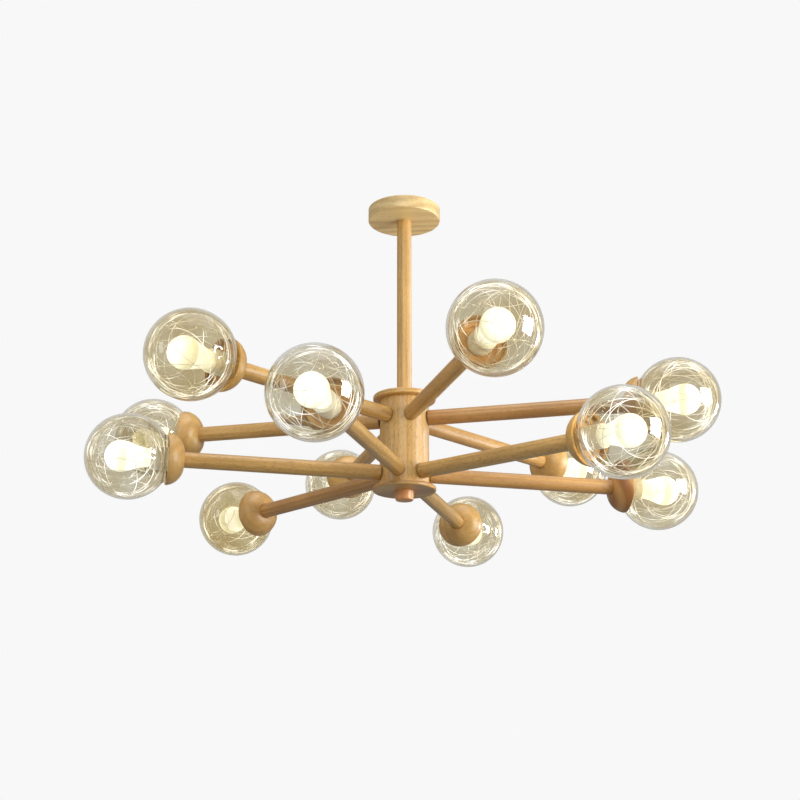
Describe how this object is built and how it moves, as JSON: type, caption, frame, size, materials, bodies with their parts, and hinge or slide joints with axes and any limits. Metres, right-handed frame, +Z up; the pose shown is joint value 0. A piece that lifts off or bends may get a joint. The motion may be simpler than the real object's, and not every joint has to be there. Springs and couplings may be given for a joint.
{
  "type": "sputnik ceiling light",
  "caption": "Wooden sputnik ceiling light on a short stem, with two tiers of level arms that end in turned cups, bulbs and clear globes with wound lit wire.",
  "frame": {"origin": "on the ceiling plane, on the stem's axis, at the middle of the bracket's two slots", "axes": "+Z up into the ceiling, -Y towards the side that the picture shows"},
  "size_m": [1.1086, 1.0996, 0.6244],
  "materials": {
    "wood": "light wood, fine straight grain, satin lacquer",
    "knob_wood": "redder wood, satin lacquer",
    "steel": "zinc plated",
    "block_plastic": "moulded",
    "holder_plastic": "white, moulded",
    "bulb": "opal dome over a white body",
    "globe_glass": "clear, pale amber tint",
    "fairy_wire": "fine bright wire with lit points"
  },
  "bodies": {
    "frame": {"canopy": "wood", "mounting_bracket": "steel", "terminal_block": "block_plastic", "stem": "wood", "hanger_tube": "steel", "hub_top_flange": "wood", "hub_body": "wood", "nipples_and_nuts": "steel", "lamp_cups": "wood", "lamp_holders": "holder_plastic", "arm_upper_1": "wood", "arm_upper_2": "wood", "arm_upper_3": "wood", "arm_upper_4": "wood", "arm_upper_5": "wood", "arm_upper_6": "wood", "arm_lower_1": "wood", "arm_lower_2": "wood", "arm_lower_3": "wood", "arm_lower_4": "wood", "arm_lower_5": "wood", "arm_lower_6": "wood"},
    "cover": {"hub_bottom_cover": "wood"},
    "knob": {"finial_knob": "knob_wood"},
    "globe_upper_1": {"globe_upper_1": "globe_glass", "fairy_wire_upper_1": "fairy_wire"},
    "bulb_upper_1": {"bulb_upper_1": "bulb"},
    "globe_upper_2": {"globe_upper_2": "globe_glass", "fairy_wire_upper_2": "fairy_wire"},
    "bulb_upper_2": {"bulb_upper_2": "bulb"},
    "globe_upper_3": {"globe_upper_3": "globe_glass", "fairy_wire_upper_3": "fairy_wire"},
    "bulb_upper_3": {"bulb_upper_3": "bulb"},
    "globe_upper_4": {"globe_upper_4": "globe_glass", "fairy_wire_upper_4": "fairy_wire"},
    "bulb_upper_4": {"bulb_upper_4": "bulb"},
    "globe_upper_5": {"globe_upper_5": "globe_glass", "fairy_wire_upper_5": "fairy_wire"},
    "bulb_upper_5": {"bulb_upper_5": "bulb"},
    "globe_upper_6": {"globe_upper_6": "globe_glass", "fairy_wire_upper_6": "fairy_wire"},
    "bulb_upper_6": {"bulb_upper_6": "bulb"},
    "globe_lower_1": {"globe_lower_1": "globe_glass", "fairy_wire_lower_1": "fairy_wire"},
    "bulb_lower_1": {"bulb_lower_1": "bulb"},
    "globe_lower_2": {"globe_lower_2": "globe_glass", "fairy_wire_lower_2": "fairy_wire"},
    "bulb_lower_2": {"bulb_lower_2": "bulb"},
    "globe_lower_3": {"globe_lower_3": "globe_glass", "fairy_wire_lower_3": "fairy_wire"},
    "bulb_lower_3": {"bulb_lower_3": "bulb"},
    "globe_lower_4": {"globe_lower_4": "globe_glass", "fairy_wire_lower_4": "fairy_wire"},
    "bulb_lower_4": {"bulb_lower_4": "bulb"},
    "globe_lower_5": {"globe_lower_5": "globe_glass", "fairy_wire_lower_5": "fairy_wire"},
    "bulb_lower_5": {"bulb_lower_5": "bulb"},
    "globe_lower_6": {"globe_lower_6": "globe_glass", "fairy_wire_lower_6": "fairy_wire"},
    "bulb_lower_6": {"bulb_lower_6": "bulb"}
  },
  "joints": [
    {"name": "cover_drop", "type": "slide", "parent": "frame", "child": "cover", "axis": [0, 0, -1], "range_m": [0, 0.009]},
    {"name": "knob_turn", "type": "hinge", "parent": "cover", "child": "knob", "pos_m": [0, 0, -0.5645], "axis": [0, 0, -1], "range_deg": [0, 3276]},
    {"name": "globe_upper_1_pull", "type": "slide", "parent": "frame", "child": "globe_upper_1", "axis": [0.2756, -0.9613, 0], "range_m": [0, 0.125]},
    {"name": "bulb_upper_1_turn", "type": "hinge", "parent": "frame", "child": "bulb_upper_1", "pos_m": [0.13616, -0.47486, -0.4205], "axis": [0.2756, -0.9613, 0], "range_deg": [0, 1260]},
    {"name": "globe_upper_2_pull", "type": "slide", "parent": "frame", "child": "globe_upper_2", "axis": [-0.6947, -0.7193, 0], "range_m": [0, 0.125]},
    {"name": "bulb_upper_2_turn", "type": "hinge", "parent": "frame", "child": "bulb_upper_2", "pos_m": [-0.34316, -0.35535, -0.4205], "axis": [-0.6947, -0.7193, 0], "range_deg": [0, 1260]},
    {"name": "globe_upper_3_pull", "type": "slide", "parent": "frame", "child": "globe_upper_3", "axis": [-0.9703, 0.2419, 0], "range_m": [0, 0.125]},
    {"name": "bulb_upper_3_turn", "type": "hinge", "parent": "frame", "child": "bulb_upper_3", "pos_m": [-0.47933, 0.11951, -0.4205], "axis": [-0.9703, 0.2419, 0], "range_deg": [0, 1260]},
    {"name": "globe_upper_4_pull", "type": "slide", "parent": "frame", "child": "globe_upper_4", "axis": [-0.2756, 0.9613, 0], "range_m": [0, 0.125]},
    {"name": "bulb_upper_4_turn", "type": "hinge", "parent": "frame", "child": "bulb_upper_4", "pos_m": [-0.13616, 0.47486, -0.4205], "axis": [-0.2756, 0.9613, 0], "range_deg": [0, 1260]},
    {"name": "globe_upper_5_pull", "type": "slide", "parent": "frame", "child": "globe_upper_5", "axis": [0.6947, 0.7193, 0], "range_m": [0, 0.125]},
    {"name": "bulb_upper_5_turn", "type": "hinge", "parent": "frame", "child": "bulb_upper_5", "pos_m": [0.34316, 0.35535, -0.4205], "axis": [0.6947, 0.7193, 0], "range_deg": [0, 1260]},
    {"name": "globe_upper_6_pull", "type": "slide", "parent": "frame", "child": "globe_upper_6", "axis": [0.9703, -0.2419, 0], "range_m": [0, 0.125]},
    {"name": "bulb_upper_6_turn", "type": "hinge", "parent": "frame", "child": "bulb_upper_6", "pos_m": [0.47933, -0.11951, -0.4205], "axis": [0.9703, -0.2419, 0], "range_deg": [0, 1260]},
    {"name": "globe_lower_1_pull", "type": "slide", "parent": "frame", "child": "globe_lower_1", "axis": [-0.2756, -0.9613, 0], "range_m": [0, 0.125]},
    {"name": "bulb_lower_1_turn", "type": "hinge", "parent": "frame", "child": "bulb_lower_1", "pos_m": [-0.13616, -0.47486, -0.5235], "axis": [-0.2756, -0.9613, 0], "range_deg": [0, 1260]},
    {"name": "globe_lower_2_pull", "type": "slide", "parent": "frame", "child": "globe_lower_2", "axis": [-0.9703, -0.2419, 0], "range_m": [0, 0.125]},
    {"name": "bulb_lower_2_turn", "type": "hinge", "parent": "frame", "child": "bulb_lower_2", "pos_m": [-0.47933, -0.11951, -0.5235], "axis": [-0.9703, -0.2419, 0], "range_deg": [0, 1260]},
    {"name": "globe_lower_3_pull", "type": "slide", "parent": "frame", "child": "globe_lower_3", "axis": [-0.6947, 0.7193, 0], "range_m": [0, 0.125]},
    {"name": "bulb_lower_3_turn", "type": "hinge", "parent": "frame", "child": "bulb_lower_3", "pos_m": [-0.34316, 0.35535, -0.5235], "axis": [-0.6947, 0.7193, 0], "range_deg": [0, 1260]},
    {"name": "globe_lower_4_pull", "type": "slide", "parent": "frame", "child": "globe_lower_4", "axis": [0.2756, 0.9613, 0], "range_m": [0, 0.125]},
    {"name": "bulb_lower_4_turn", "type": "hinge", "parent": "frame", "child": "bulb_lower_4", "pos_m": [0.13616, 0.47486, -0.5235], "axis": [0.2756, 0.9613, 0], "range_deg": [0, 1260]},
    {"name": "globe_lower_5_pull", "type": "slide", "parent": "frame", "child": "globe_lower_5", "axis": [0.9703, 0.2419, 0], "range_m": [0, 0.125]},
    {"name": "bulb_lower_5_turn", "type": "hinge", "parent": "frame", "child": "bulb_lower_5", "pos_m": [0.47933, 0.11951, -0.5235], "axis": [0.9703, 0.2419, 0], "range_deg": [0, 1260]},
    {"name": "globe_lower_6_pull", "type": "slide", "parent": "frame", "child": "globe_lower_6", "axis": [0.6937, -0.7184, -0.0523], "range_m": [0, 0.125]},
    {"name": "bulb_lower_6_turn", "type": "hinge", "parent": "frame", "child": "bulb_lower_6", "pos_m": [0.34269, -0.35487, -0.54935], "axis": [0.6937, -0.7184, -0.0523], "range_deg": [0, 1260]}
  ],
  "couplings": [
    {"joint": "knob_turn", "follows": "cover_drop", "rad_per_m": 6283.2}
  ]
}
